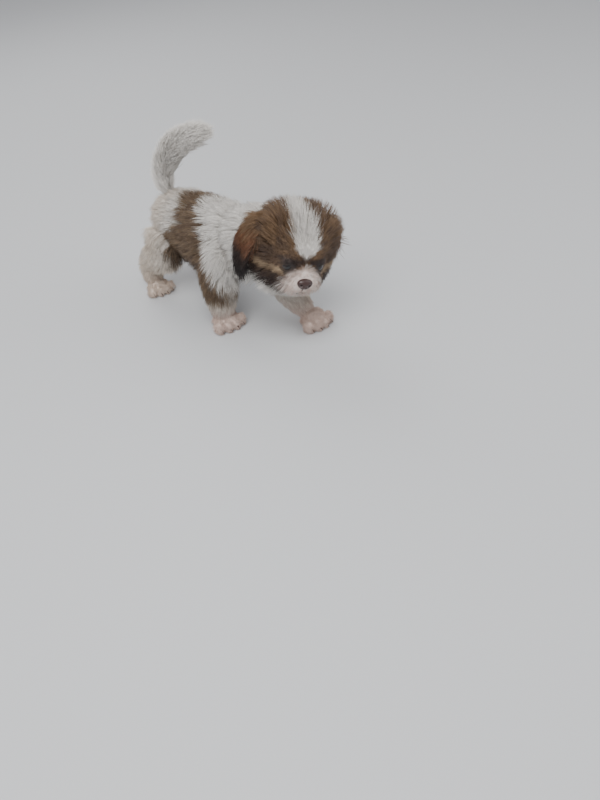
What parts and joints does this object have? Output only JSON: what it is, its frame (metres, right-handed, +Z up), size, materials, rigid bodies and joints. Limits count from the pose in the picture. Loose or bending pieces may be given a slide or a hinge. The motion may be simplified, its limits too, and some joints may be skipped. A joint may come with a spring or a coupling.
{
  "type": "shih tzu puppy",
  "caption": "Still life-size shih tzu puppy stepping forward with its head low, hanging ears and a short muzzle, and its plumed tail curled over its back.",
  "frame": {"origin": "on the floor, under the middle of the whole puppy", "axes": "+Z up, the puppy walks towards -Y, and its left side is +X"},
  "size_m": [0.1211, 0.2762, 0.2035],
  "materials": {
    "coat_torso": "soft puppy coat, white with a brown saddle band",
    "coat_white": "soft white puppy coat",
    "coat_head": "soft golden-brown coat with a white blaze and muzzle",
    "coat_legs": "short off-white coat",
    "coat_ears": "dark brown ear coat",
    "eyes": "wet, near-black brown eye",
    "nose": "moist liver-brown nose leather"
  },
  "bodies": {
    "root": {"torso": "coat_torso", "neck": "coat_white", "head": "coat_head", "tail": "coat_white", "right_foreleg": "coat_legs", "left_foreleg": "coat_legs", "right_hindleg": "coat_legs", "left_hindleg": "coat_legs", "right_ear": "coat_ears", "left_ear": "coat_ears", "right_eye": "eyes", "left_eye": "eyes", "nose": "nose"}
  },
  "joints": []
}
